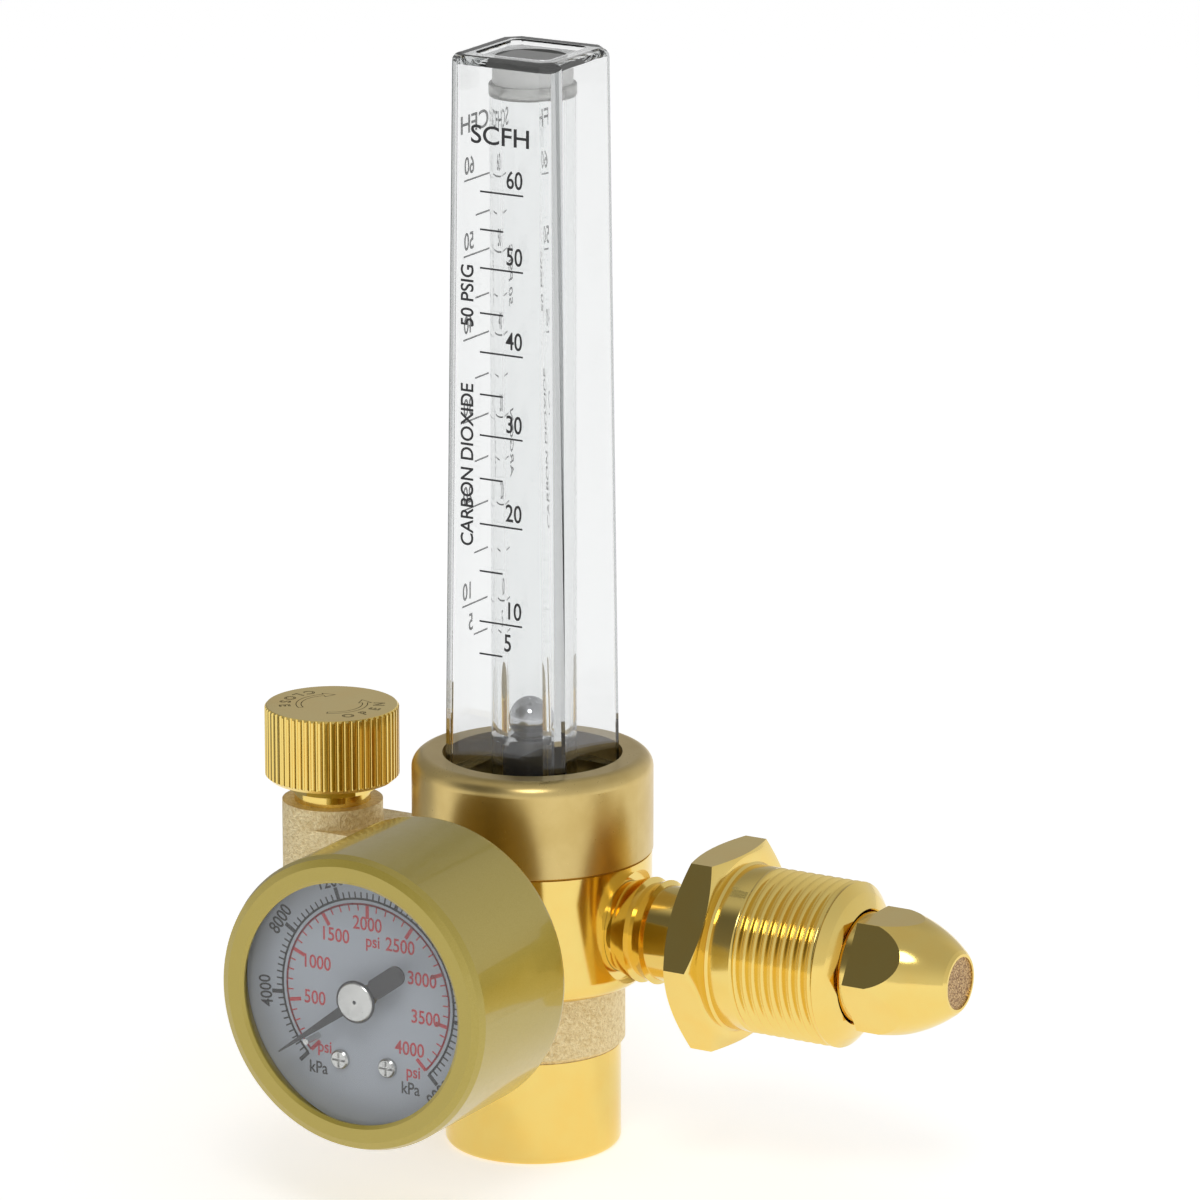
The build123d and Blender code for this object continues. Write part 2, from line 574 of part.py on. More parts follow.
with BuildPart() as inlet_nut:
    with BuildPart(mode=Mode.PRIVATE) as nut_hex:
        hexagon(along_x(NUT_HEX_X0, 0, INLET_Z), NUT_FLAT, NUT_HEX_X1 - NUT_HEX_X0, 0)
        nut_rim = [
            (0, NUT_HEX_X0),
            (14.0, NUT_HEX_X0),
            (16.4, NUT_HEX_X0 + 1.3),
            (16.4, NUT_HEX_X1 - 1.3),
            (14.0, NUT_HEX_X1),
            (0, NUT_HEX_X1),
        ]
        turned(INLET_TURN, nut_rim, X_INLET, Mode.INTERSECT)
    add(nut_hex.part)
    nut_outline = [
        (0, NUT_HEX_X1 - 1),
        (12.6, NUT_HEX_X1 - 1),
        (12.6, NUT_THREAD_X0 - 1.0),
        (11.6, NUT_THREAD_X0 - 0.4),
        (NUT_THREAD_R, NUT_THREAD_X0 + 0.2),
        (NUT_THREAD_R, NUT_THREAD_X1),
        (10.8, NUT_END_X - 1.0),
        (NOSE_NECK_R + 0.4, NUT_END_X),
        (0, NUT_END_X),
    ]
    turned(INLET_TURN, nut_outline, X_INLET)
    for station in thread_grooves(NUT_THREAD_X0 + 0.4, NUT_THREAD_X1, NUT_PITCH):
        groove = [
            (NUT_THREAD_R + 0.1, station - 0.6),
            (NUT_THREAD_R - 0.9, station),
            (NUT_THREAD_R + 0.1, station + 0.6),
        ]
        turned(INLET_TURN, groove, X_INLET, Mode.SUBTRACT)
    cylinder(along_x(NUT_HEX_X0 - 1, 0, INLET_Z), SHANK_R + RUN_GAP, 30, Mode.SUBTRACT)
    cylinder(along_x(NOSE_BACK_X - 0.1, 0, INLET_Z), NOSE_NECK_R + 0.2, 15, Mode.SUBTRACT)
save(inlet_nut, "inlet_nut")

# ---------------------------------------------------------------- gauge shell
with BuildPart() as gauge_case:
    case_depth = CASE_BACK_Y - BEZEL_BACK_Y
    cylinder(across(CASE_BACK_Y, 0, GAUGE_Z), CASE_R, case_depth)
    fillet(gauge_case.edges().group_by(Axis.Y)[-1], 1.5)
    pocket = case_depth - CASE_WALL
    cylinder(across(CASE_BACK_Y - CASE_WALL, 0, GAUGE_Z), CASE_R - CASE_WALL, pocket, Mode.SUBTRACT)
    cylinder(across(CASE_BACK_Y + 1, 0, GAUGE_Z), 6.5 + RUN_GAP, 4, Mode.SUBTRACT)
save(gauge_case, "gauge_case")

with BuildPart() as gauge_bezel:
    bezel_outline = [
        (WINDOW_R, CASE_FRONT_Y + 0.35),
        (WINDOW_R + 0.5, CASE_FRONT_Y),
        (CASE_R - 1.5, CASE_FRONT_Y),
        (CASE_R - 0.45, CASE_FRONT_Y + 0.45),
        (CASE_R, CASE_FRONT_Y + 1.5),
        (CASE_R, BEZEL_BACK_Y),
        (CASE_R - CASE_WALL, BEZEL_BACK_Y),
        (CASE_R - CASE_WALL, LENS_Y),
        (WINDOW_R, LENS_Y),
    ]
    turned(GAUGE_TURN, bezel_outline, Y_GAUGE)
save(gauge_bezel, "gauge_bezel")

with BuildPart() as gauge_lens:
    cylinder(across(LENS_Y + LENS_THICK, 0, GAUGE_Z), CASE_R - CASE_WALL - RUN_GAP, LENS_THICK)
save(gauge_lens, "gauge_lens")

with BuildPart() as dial:
    cylinder(across(DIAL_Y + DIAL_THICK, 0, GAUGE_Z), DIAL_R, DIAL_THICK)
    cylinder(across(DIAL_Y + 1, 0, GAUGE_Z), 1.6, 2, Mode.SUBTRACT)
save(dial, "dial")

DIAL_SCREWS = [(-4.6, -10.3), (3.4, -10.3)]
with BuildPart() as dial_screws:
    with BuildSketch(across(DIAL_Y, 0, GAUGE_Z)):
        with Locations(*DIAL_SCREWS):
            Circle(1.45)
    extrude(amount=0.8)
    chamfer(dial_screws.edges().group_by(Axis.Y)[0], 0.25)
    with BuildSketch(across(DIAL_Y - 0.8, 0, GAUGE_Z)):
        with Locations(*DIAL_SCREWS):
            Rectangle(2.2, 0.35)
            Rectangle(0.35, 2.2)
    extrude(amount=-0.4, mode=Mode.SUBTRACT)
save(dial_screws, "dial_screws")

with BuildPart() as stop_pin:
    cylinder(across(DIAL_Y, -8.5, GAUGE_Z - 7.4), 0.45, 3.5)
save(stop_pin, "stop_pin")

# ---------------------------------------------------------------- gauge movement
FRONT_PLATE_Y = -44.4
BACK_PLATE_Y = -38.2
PLATE_THICK = 0.8
SOCKET_FACE_Y = -36.0
PINION_R = TOOTH_MODULE * PINION_TEETH / 2
SECTOR_R = TOOTH_MODULE * SECTOR_TEETH / 2
GEAR_SPAN = PINION_R + SECTOR_R
SECTOR_X = -GEAR_SPAN * cos(radians(SECTOR_AIM))
SECTOR_Z = GAUGE_Z - GEAR_SPAN * sin(radians(SECTOR_AIM))
TAIL_ANGLE = SECTOR_AIM + 210
TAIL_R = 3.6
TAIL_X = SECTOR_X + TAIL_R * cos(radians(TAIL_ANGLE))
TAIL_Z = SECTOR_Z + TAIL_R * sin(radians(TAIL_ANGLE))
BOURDON_R = 16.6
BOURDON_ARC = 270.0


def tooth(radius, centre_angle, half_root, half_tip, root, tip):
    """One gear tooth as a quadrilateral around the pitch circle."""
    corners = ((root, -half_root), (tip, -half_tip), (tip, half_tip), (root, half_root))
    points = []
    for height, half in corners:
        reach = radius + height
        angle = radians(centre_angle) + half / reach
        points.append((reach * cos(angle), reach * sin(angle)))
    with BuildLine() as outline:
        Polyline(*points, close=True)
    make_face(outline.edges())


with BuildPart() as gauge_socket:
    cylinder(across(-9.5, 0, GAUGE_Z), 6.5, -9.5 - CASE_BACK_Y)
    cylinder(across(CASE_BACK_Y, 0, GAUGE_Z), 6.5, CASE_BACK_Y - SOCKET_FACE_Y)
    with BuildSketch(across(-30, 0, GAUGE_Z)):
        with Locations((0, -8)):
            Rectangle(11, 16)
    extrude(amount=-30 - SOCKET_FACE_Y)
    cylinder(across(-9, 0, GAUGE_Z), 1.2, 24, Mode.SUBTRACT)
    with BuildSketch(Plane(origin=(0, -33, GAUGE_Z), z_dir=(0, 0, -1))):
        Circle(0.9)
    extrude(amount=14, mode=Mode.SUBTRACT)
save(gauge_socket, "gauge_socket")

with BuildPart() as bourdon_tube:
    # flattened tube wound three quarters round the movement, clockwise from the foot to its tip
    with BuildSketch(Plane(origin=(0, 0, GAUGE_Z), x_dir=(0, 0, -1), z_dir=(1, 0, 0))):
        with Locations((BOURDON_R, -39.4)):
            SlotOverall(6.4, 2.2, rotation=90)
            SlotOverall(5.4, 1.2, rotation=90, mode=Mode.SUBTRACT)
    revolve(axis=Y_GAUGE, revolution_arc=BOURDON_ARC)
save(bourdon_tube, "bourdon_tube")

with BuildPart() as bourdon_foot:
    with BuildSketch(across(SOCKET_FACE_Y, 0, GAUGE_Z)):
        with Locations((2.75, -15.2)):
            Rectangle(5.5, 5.2)
    extrude(amount=5)
save(bourdon_foot, "bourdon_foot")

PLATE_OUTLINE = [(-6.4, -12.45), (11, -12.45), (11, 3.5), (-6.4, 3.5)]
PILLARS = [(-5.0, -3.0), (9.4, 1.8)]


def movement_plate(y):
    """Plate with the pinion's and the sector's bearing holes, front face at y."""
    with BuildSketch(across(y + PLATE_THICK, 0, GAUGE_Z)) as plate:
        with BuildLine():
            Polyline(*PLATE_OUTLINE, close=True)
        make_face()
        with Locations((SECTOR_X, SECTOR_Z - GAUGE_Z), (0, 0)):
            Circle(0.7 + RUN_GAP, mode=Mode.SUBTRACT)
    extrude(plate.sketch, amount=PLATE_THICK)


with BuildPart() as movement_front_plate:
    movement_plate(FRONT_PLATE_Y)
save(movement_front_plate, "movement_front_plate")

with BuildPart() as movement_back_plate:
    movement_plate(BACK_PLATE_Y)
save(movement_back_plate, "movement_back_plate")

with BuildPart() as movement_pillars:
    with BuildSketch(across(BACK_PLATE_Y, 0, GAUGE_Z)):
        with Locations(*PILLARS):
            Circle(1.1)
    extrude(amount=BACK_PLATE_Y - FRONT_PLATE_Y - PLATE_THICK)
    with BuildSketch(across(SOCKET_FACE_Y, 0, GAUGE_Z)):
        with Locations((-4.0, -9.0), (4.0, -9.0)):
            Circle(1.0)
    extrude(amount=SOCKET_FACE_Y - BACK_PLATE_Y - PLATE_THICK)
    with BuildSketch(across(FRONT_PLATE_Y, 0, GAUGE_Z)):
        with Locations(*DIAL_SCREWS):
            Circle(1.3)
    extrude(amount=FRONT_PLATE_Y - DIAL_Y - DIAL_THICK)
save(movement_pillars, "movement_pillars")

GEAR_Y = -41.2
with BuildPart() as sector_gear:
    with BuildSketch(across(GEAR_Y, SECTOR_X, SECTOR_Z)):
        Circle(SECTOR_R - 0.45)
        with BuildLine():
            low = radians(SECTOR_AIM + 11 - SECTOR_ARC)
            high = radians(SECTOR_AIM + 11)
            reach = SECTOR_R * 2
            Polyline(
                (0, 0),
                (reach * cos(low), reach * sin(low)),
                (reach * cos((low + high) / 2) * 1.3, reach * sin((low + high) / 2) * 1.3),
                (reach * cos(high), reach * sin(high)),
                close=True,
            )
        make_face(mode=Mode.INTERSECT)
        for index in range(int(SECTOR_ARC / 360 * SECTOR_TEETH) - 1):
            angle = SECTOR_AIM + 7.5 - index * 360 / SECTOR_TEETH
            tooth(SECTOR_R, angle, 0.26, 0.1, -0.6, 0.22)
        Circle(2.0)
        with Locations((TAIL_X - SECTOR_X, TAIL_Z - SECTOR_Z)):
            Circle(1.0)
        with Locations(((TAIL_X - SECTOR_X) / 2, (TAIL_Z - SECTOR_Z) / 2)):
            Rectangle(TAIL_R, 1.4, rotation=TAIL_ANGLE)
    extrude(amount=0.9)
    cylinder(across(BACK_PLATE_Y + PLATE_THICK, SECTOR_X, SECTOR_Z), 0.7, 7.8)
    cylinder(across(-38.7, TAIL_X, TAIL_Z), 0.45, 3.4)
save(sector_gear, "sector_gear")

with BuildPart() as pinion:
    with BuildSketch(across(GEAR_Y + 0.3, 0, GAUGE_Z)):
        Circle(PINION_R - 0.42)
        for index in range(PINION_TEETH):
            angle = SECTOR_AIM + 180 + index * 360 / PINION_TEETH
            tooth(PINION_R, angle, 0.26, 0.1, -0.5, 0.22)
    extrude(amount=1.5)
    cylinder(across(BACK_PLATE_Y + PLATE_THICK, 0, GAUGE_Z), 0.7, BACK_PLATE_Y + PLATE_THICK - POINTER_Y)
save(pinion, "pinion")

with BuildPart() as hairspring:
    # flat spiral of half turns whose centres alternate, so that each joins the next smoothly
    with BuildSketch(across(-43.0, 0, GAUGE_Z)):
        with BuildLine():
            for half in range(7):
                side = 1 if half % 2 == 0 else -1
                reach = 1.2 + 0.3 * half
                centre = 0.15 * side
                start = (centre - side * reach, 0)
                middle = (centre, side * reach)
                end = (centre + side * reach, 0)
                ThreePointArc(start, middle, end)
        trace(line_width=0.2)
    extrude(amount=0.35)
save(hairspring, "hairspring")

LINK_Y = -38.9
with BuildPart() as link:
    span_x = BOURDON_R - 3.2 - TAIL_X
    span_z = GAUGE_Z - TAIL_Z
    span = hypot(span_x, span_z)
    with BuildSketch(across(LINK_Y, TAIL_X, TAIL_Z)):
        with Locations((span_x / 2, span_z / 2)):
            SlotOverall(span + 1.8, 1.8, rotation=degrees(atan2(span_z, span_x)))
        Circle(0.45 + RUN_GAP, mode=Mode.SUBTRACT)
    extrude(amount=0.6)
save(link, "link")

# ---------------------------------------------------------------- pointer
with BuildPart() as pointer:
    aim = radians(POINTER_ZERO)
    with BuildSketch(Plane((0, POINTER_Y, GAUGE_Z), x_dir=(cos(aim), 0, sin(aim)), z_dir=(0, -1, 0))):
        with BuildLine():
            Polyline(
                (-POINTER_TAIL + TAIL_HALF, TAIL_HALF),
                (-3.8, TAIL_HALF),
                (-2.6, 0.6),
                (1.5, 0.8),
                (POINTER_TIP, 0.12),
                (POINTER_TIP, -0.12),
                (1.5, -0.8),
                (-2.6, -0.6),
                (-3.8, -TAIL_HALF),
                (-POINTER_TAIL + TAIL_HALF, -TAIL_HALF),
            )
            ThreePointArc(
                (-POINTER_TAIL + TAIL_HALF, -TAIL_HALF),
                (-POINTER_TAIL, 0),
                (-POINTER_TAIL + TAIL_HALF, TAIL_HALF),
            )
        make_face()
    extrude(amount=0.3)
save(pointer, "pointer")

with BuildPart() as pointer_hub:
    cylinder(across(POINTER_Y - 0.3, 0, GAUGE_Z), 2.9, 0.45)
    chamfer(pointer_hub.edges().group_by(Axis.Y)[0], 0.15)
save(pointer_hub, "pointer_hub")
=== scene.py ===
"""Looks of the carbon dioxide regulator: materials, printed scales, threads, engravings and the studio.

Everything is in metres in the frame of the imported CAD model: +Z up along the flow tube, +X along the
cylinder inlet, and the gauge faces -Y.  Places come from the boxes of the CAD nodes.
"""

from math import cos, hypot, pi, radians, sin

import bmesh
import bpy
from mathutils import Matrix, Vector


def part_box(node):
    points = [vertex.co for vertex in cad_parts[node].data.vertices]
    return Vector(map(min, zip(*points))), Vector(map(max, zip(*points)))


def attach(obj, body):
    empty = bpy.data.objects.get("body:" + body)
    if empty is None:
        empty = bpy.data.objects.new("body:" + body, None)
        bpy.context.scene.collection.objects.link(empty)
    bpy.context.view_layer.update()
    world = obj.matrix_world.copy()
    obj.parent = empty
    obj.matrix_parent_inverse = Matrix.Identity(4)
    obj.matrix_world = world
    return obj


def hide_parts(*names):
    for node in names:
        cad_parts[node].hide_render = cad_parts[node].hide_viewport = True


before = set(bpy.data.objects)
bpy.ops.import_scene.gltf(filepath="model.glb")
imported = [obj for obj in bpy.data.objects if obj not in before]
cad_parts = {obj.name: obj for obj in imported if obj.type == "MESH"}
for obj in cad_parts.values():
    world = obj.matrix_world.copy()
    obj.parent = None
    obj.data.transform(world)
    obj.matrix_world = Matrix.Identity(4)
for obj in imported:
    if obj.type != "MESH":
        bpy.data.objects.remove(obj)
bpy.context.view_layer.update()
MM = 0.001

# ---------------------------------------------------------------- camera
CAMERA_TARGET = Vector((0.002465, 0.015663, 0.080238))
CAMERA_AZIMUTH = radians(30.16)
CAMERA_ELEVATION = radians(15.084)
CAMERA_DISTANCE = 1.2
CAMERA_LENS = 241.73


def add_camera():
    """The photograph's viewing direction, with a long lens."""
    back = Vector(
        (
            sin(CAMERA_AZIMUTH) * cos(CAMERA_ELEVATION),
            -cos(CAMERA_AZIMUTH) * cos(CAMERA_ELEVATION),
            sin(CAMERA_ELEVATION),
        )
    )
    data = bpy.data.cameras.new("camera")
    data.lens = CAMERA_LENS
    data.sensor_width = 36
    camera = bpy.data.objects.new("camera", data)
    camera.location = CAMERA_TARGET + back * CAMERA_DISTANCE
    camera.rotation_euler = back.to_track_quat("Z", "Y").to_euler()
    bpy.context.scene.collection.objects.link(camera)
    bpy.context.scene.camera = camera


add_camera()


# ---------------------------------------------------------------- node helpers
class Shader:
    """A material's node tree, with one Principled shader at its end."""

    def __init__(self, name, colour=(0.8, 0.8, 0.8), roughness=0.4, metallic=0.0):
        self.material = bpy.data.materials.get(name) or bpy.data.materials.new(name)
        self.material.use_nodes = True
        self.tree = self.material.node_tree
        self.tree.nodes.clear()
        self.surface = self.add("ShaderNodeBsdfPrincipled")
        self.output = self.add("ShaderNodeOutputMaterial")
        self.link(self.surface.outputs["BSDF"], self.output.inputs["Surface"])
        self.set("Base Color", (*colour, 1))
        self.set("Roughness", roughness)
        self.set("Metallic", metallic)
        self.place = self.add("ShaderNodeTexCoord").outputs["Object"]

    def add(self, kind, **settings):
        node = self.tree.nodes.new(kind)
        for key, value in settings.items():
            setattr(node, key, value)
        return node

    def link(self, source, socket):
        self.tree.links.new(source, socket)

    def set(self, socket, value):
        self.surface.inputs[socket].default_value = value

    def feed(self, source, socket):
        self.link(source, self.surface.inputs[socket])

    def put(self, value, socket):
        """A number or a colour goes into the socket, and an output is linked to it."""
        if isinstance(value, bpy.types.NodeSocket):
            self.link(value, socket)
        else:
            socket.default_value = value

    def math(self, operation, first, second=0.0, third=0.0, clamp=False):
        node = self.add("ShaderNodeMath", operation=operation, use_clamp=clamp)
        for socket, value in zip(node.inputs, (first, second, third)):
            self.put(value, socket)
        return node.outputs[0]

    def ramp(self, value, low, high, to_low=0.0, to_high=1.0):
        """Smooth step of a value from one range to another."""
        node = self.add("ShaderNodeMapRange", interpolation_type="SMOOTHSTEP")
        for socket, number in zip(node.inputs, (value, low, high, to_low, to_high)):
            self.put(number, socket)
        return node.outputs[0]

    def axes(self):
        node = self.add("ShaderNodeSeparateXYZ")
        self.link(self.place, node.inputs[0])
        return node.outputs

    def noise(self, scale, detail=3.0, stretch=(1, 1, 1), roughness=0.55):
        """Noise with `scale` features per metre, stretched along the axes."""
        mapping = self.add("ShaderNodeMapping")
        self.link(self.place, mapping.inputs["Vector"])
        mapping.inputs["Scale"].default_value = stretch
        node = self.add("ShaderNodeTexNoise")
        self.link(mapping.outputs[0], node.inputs["Vector"])
        node.inputs["Scale"].default_value = scale
        node.inputs["Detail"].default_value = detail
        node.inputs["Roughness"].default_value = roughness
        return node.outputs["Fac"]

    def blend(self, factor, first, second):
        """Colour mix of two colours or outputs."""
        node = self.add("ShaderNodeMix", data_type="RGBA")
        self.put(factor, node.inputs[0])
        for socket, value in zip(node.inputs[6:8], (first, second)):
            self.put(value if isinstance(value, bpy.types.NodeSocket) else (*value, 1), socket)
        return node.outputs[2]

    def bump(self, height, distance, strength=1.0):
        node = self.add("ShaderNodeBump")
        self.put(height, node.inputs["Height"])
        node.inputs["Distance"].default_value = distance
        self.put(strength, node.inputs["Strength"])
        self.feed(node.outputs[0], "Normal")


# ---------------------------------------------------------------- materials
BRASS = (0.84, 0.635, 0.195)
BRASS_DULL = (0.74, 0.52, 0.15)
PLASTIC_SMOKE = 45.0  # absorption per metre, which greys the long way through the walls


def metal(name, colour, dull, roughness, spread, lathe=None, relief=0.0):
    """Brass or steel with faint clouding; `lathe` is the axis that fine turning marks go along."""
    s = Shader(name, colour, roughness, 1.0)
    cloud = s.noise(160, 4)
    s.feed(s.blend(s.ramp(cloud, 0.35, 0.75), colour, dull), "Base Color")
    fine = s.noise(2600, 2)
    level = s.math("ADD", s.math("MULTIPLY", fine, spread), roughness - spread / 2)
    s.feed(s.math("ADD", level, s.math("MULTIPLY", cloud, spread * 0.6)), "Roughness")
    if lathe is not None:
        stretch = [60.0, 60.0, 60.0]
        stretch[lathe] = 9000.0
        s.bump(s.noise(1, 3, stretch), relief)
    elif relief:
        s.bump(s.noise(5200, 3), relief)
    return s


def body_brass():
    """One casting: sandy where it is as cast, bright where it has been turned."""
    s = Shader("cast_brass", BRASS, 0.3, 1.0)
    x, y, z = s.axes()
    radius = s.math("SQRT", s.math("ADD", s.math("MULTIPLY", x, x), s.math("MULTIPLY", y, y)))
    inside = s.ramp(radius, 17.95 * MM, 18.1 * MM, 1.0, 0.0)
    above = s.ramp(z, 26.0 * MM, 26.2 * MM)
    turned = s.math("MULTIPLY", inside, above)
    spigot = s.math("MULTIPLY", s.ramp(y, 9.25 * MM, 9.35 * MM), s.ramp(x, -24 * MM, -26 * MM, 0.0, 1.0))
    turned = s.math("MAXIMUM", turned, spigot)
    grit = s.noise(1500, 4, roughness=0.7)
    speck = s.noise(4200, 2)
    sandy = s.blend(s.ramp(grit, 0.3, 0.7), (0.95, 0.82, 0.52), (0.74, 0.58, 0.30))
    bright = s.blend(s.ramp(s.noise(160, 4), 0.35, 0.75), BRASS, (0.84, 0.60, 0.17))
    s.feed(s.blend(turned, sandy, bright), "Base Color")
    rough = s.math("ADD", s.math("MULTIPLY", grit, 0.25), 0.36)
    rough = s.math("MULTIPLY", s.math("SUBTRACT", 1.0, turned), rough)
    s.feed(s.math("ADD", rough, s.math("MULTIPLY", turned, 0.13)), "Roughness")
    height = s.math("ADD", grit, s.math("MULTIPLY", speck, 0.5))
    s.bump(height, 0.35 * MM, s.math("SUBTRACT", 1.0, turned))


def gauge_paint():
    """Gold lacquer under a clear coat, with the slight waviness of sprayed paint."""
    s = Shader("gauge_paint", (0.42, 0.32, 0.05), 0.34, 0.35)
    s.set("Coat Weight", 0.6)
    s.set("Coat Roughness", 0.06)
    flake = s.noise(9000, 1)
    s.feed(s.blend(s.ramp(flake, 0.3, 0.7), (0.41, 0.315, 0.045), (0.46, 0.36, 0.065)), "Base Color")
    s.feed(s.math("ADD", s.math("MULTIPLY", s.noise(900, 3), 0.12), 0.28), "Roughness")
    s.bump(s.noise(420, 2), 0.02 * MM)


def clear_plastic():
    """Clear polycarbonate that lets lamps through."""
    s = Shader("clear_plastic", (0.985, 0.99, 0.99), 0.02)
    s.set("Transmission Weight", 1.0)
    s.set("IOR", 1.49)
    s.feed(s.math("ADD", s.math("MULTIPLY", s.noise(300, 3), 0.02), 0.004), "Roughness")
    lamp = s.add("ShaderNodeBsdfTransparent")
    mix = s.add("ShaderNodeMixShader")
    path = s.add("ShaderNodeLightPath")
    s.link(path.outputs["Is Shadow Ray"], mix.inputs[0])
    s.link(s.surface.outputs[0], mix.inputs[1])
    s.link(lamp.outputs[0], mix.inputs[2])
    s.link(mix.outputs[0], s.output.inputs["Surface"])
    smoke = s.add("ShaderNodeVolumeAbsorption")
    smoke.inputs["Color"].default_value = (0.40, 0.42, 0.42, 1)
    smoke.inputs["Density"].default_value = PLASTIC_SMOKE
    s.link(smoke.outputs[0], s.output.inputs["Volume"])


def plain(name, colour, other, roughness, grain=2500, relief=0.0, metallic=0.0):
    """Plastic, rubber, paint or ink with a fine grain in colour and gloss."""
    s = Shader(name, colour, roughness, metallic)
    grit = s.noise(grain, 3)
    s.feed(s.blend(s.ramp(grit, 0.3, 0.7), colour, other), "Base Color")
    s.feed(s.math("ADD", s.math("MULTIPLY", grit, 0.12), roughness - 0.06), "Roughness")
    if relief:
        s.bump(grit, relief)
    return s


def sintered():
    """Pressed bronze balls: a tight field of round grains, with painted shade darkening the gaps between
    them.
    """
    s = Shader("sintered_bronze", (0.6, 0.42, 0.2), 0.45, 1.0)
    cells = s.add("ShaderNodeTexVoronoi")
    s.link(s.place, cells.inputs["Vector"])
    cells.inputs["Scale"].default_value = 3600
    near = cells.outputs["Distance"]
    # painted shade: each grain is light at its centre and darker towards the gaps and pores around it
    shade = s.ramp(near, 0.15, 0.75)
    s.feed(s.blend(shade, (0.78, 0.55, 0.28), (0.30, 0.17, 0.08)), "Base Color")
    s.feed(s.math("ADD", s.math("MULTIPLY", s.noise(2600, 2), 0.3), 0.3), "Roughness")
    s.bump(s.math("SUBTRACT", 1.0, near), 0.12 * MM)


def make_materials():
    body_brass()
    gauge_paint()
    clear_plastic()
    sintered()
    metal("polished_brass", BRASS, (0.85, 0.61, 0.17), 0.11, 0.05)
    metal("satin_brass", (0.66, 0.50, 0.20), (0.60, 0.44, 0.16), 0.27, 0.08, lathe=2, relief=0.006 * MM)
    metal("machined_brass", (0.85, 0.62, 0.20), BRASS_DULL, 0.22, 0.1)
    metal("knob_top", (0.76, 0.66, 0.43), (0.68, 0.58, 0.36), 0.30, 0.1, relief=0.004 * MM)
    metal("bronze", (0.70, 0.42, 0.20), (0.50, 0.28, 0.12), 0.28, 0.1)
    metal("spring_steel", (0.62, 0.62, 0.60), (0.48, 0.48, 0.47), 0.22, 0.1)
    metal("ball_steel", (0.58, 0.58, 0.60), (0.52, 0.52, 0.54), 0.09, 0.03)
    plain("white_plastic", (0.66, 0.66, 0.645), (0.61, 0.61, 0.60), 0.45, relief=0.004 * MM)
    plain("black_rubber", (0.012, 0.012, 0.013), (0.03, 0.03, 0.03), 0.5, relief=0.01 * MM)
    plain("pointer_black", (0.012, 0.012, 0.014), (0.022, 0.022, 0.024), 0.35)
    plain("dial_face", (0.46, 0.50, 0.56), (0.49, 0.53, 0.59), 0.42, grain=5000)
    plain("black_ink", (0.010, 0.010, 0.012), (0.02, 0.02, 0.022), 0.5)
    plain("red_ink", (0.62, 0.035, 0.05), (0.55, 0.03, 0.04), 0.5)
    # engraved lines: the dark colour is partly the duller cut brass and partly painted shade inside the
    # grooves
    plain("engraving", (0.30, 0.21, 0.10), (0.36, 0.26, 0.13), 0.5, metallic=0.5)
    seal = plain("seal_clear", (0.62, 0.62, 0.60), (0.55, 0.55, 0.53), 0.18)
    seal.set("Transmission Weight", 0.7)
    seal.set("IOR", 1.42)


make_materials()


def material(name):
    return bpy.data.materials[name]


# ---------------------------------------------------------------- mesh helpers
def finish_mesh(name, bm, body, slot, look=None, sharp=28):
    """Turn a bmesh into a piece that rides on a body, smooth except at its sharp edges."""
    bmesh.ops.remove_doubles(bm, verts=bm.verts, dist=1e-7)
    bmesh.ops.dissolve_degenerate(bm, edges=bm.edges, dist=1e-7)
    bmesh.ops.recalc_face_normals(bm, faces=bm.faces)
    mesh = bpy.data.meshes.new(name)
    bm.to_mesh(mesh)
    bm.free()
    mesh.polygons.foreach_set("use_smooth", [True] * len(mesh.polygons))
    mesh.set_sharp_from_angle(angle=radians(sharp))
    mesh.materials.append(material(look or slot))
    piece = bpy.data.objects.new(name, mesh)
    bpy.context.scene.collection.objects.link(piece)
    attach(piece, body)
    return piece


def grid_mesh(rows, segments, place):
    """A closed ring of quads: each row is a function of the angle that gives (axial, radius).

    place turns (axial, radius, angle) into a point.  The last row joins the first.
    """
    bm = bmesh.new()
    rings = []
    for row in rows:
        ring = []
        for index in range(segments):
            angle = 2 * pi * index / segments
            axial, radius = row(angle)
            ring.append(bm.verts.new(place(axial, radius, angle)))
        rings.append(ring)
    for low, high in zip(rings, rings[1:] + rings[:1]):
        for index in range(segments):
            after = (index + 1) % segments
            bm.faces.new((low[index], low[after], high[after], high[index]))
    return bm


def fixed(axial, radius):
    """A round row."""
    return lambda angle: (axial, radius)


def hexagon_radius(flat, turn=0.0):
    """Radius of a hexagon with that distance across flats; a corner lies at the angle `turn`."""

    def radius(angle):
        sector = (angle - turn) % (pi / 3) - pi / 6
        return flat / 2 / cos(sector)

    return radius


def chamfered_hexagon(start, end, flat, chamfer_r, slope, turn=0.0):
    """Rows of a hexagon bar cut at both ends by a cone that meets the face at chamfer_r."""
    hexagon = hexagon_radius(flat, turn)

    def cut(base, side):
        return lambda angle: (base + side * max(hexagon(angle) - chamfer_r, 0) * slope, hexagon(angle))

    return [fixed(start, chamfer_r), cut(start, 1), cut(end, -1), fixed(end, chamfer_r)]


def helix_rows(start, end, outer, depth, pitch, fade, samples=12):
    """Rows of a V thread whose crests run as a helix and fade out at both ends."""
    rows = []
    turns = int((end - start) / pitch) + 2

    def row(station, phase):
        def at(angle):
            axial = start + pitch * (station + angle / (2 * pi))
            axial = min(max(axial, start), end)
            ends = min((axial - start) / fade, (end - axial) / fade, 1.0)
            wave = abs(2 * phase - 1)  # 0 at a root, 1 at a crest
            cutting = min(max((0.92 - wave) / 0.84, 0.0), 1.0)
            return axial, outer - depth * cutting * max(ends, 0.0)

        return at

    for step in range(-samples, turns * samples):
        rows.append(row(step / samples, (step % samples) / samples))
    return rows


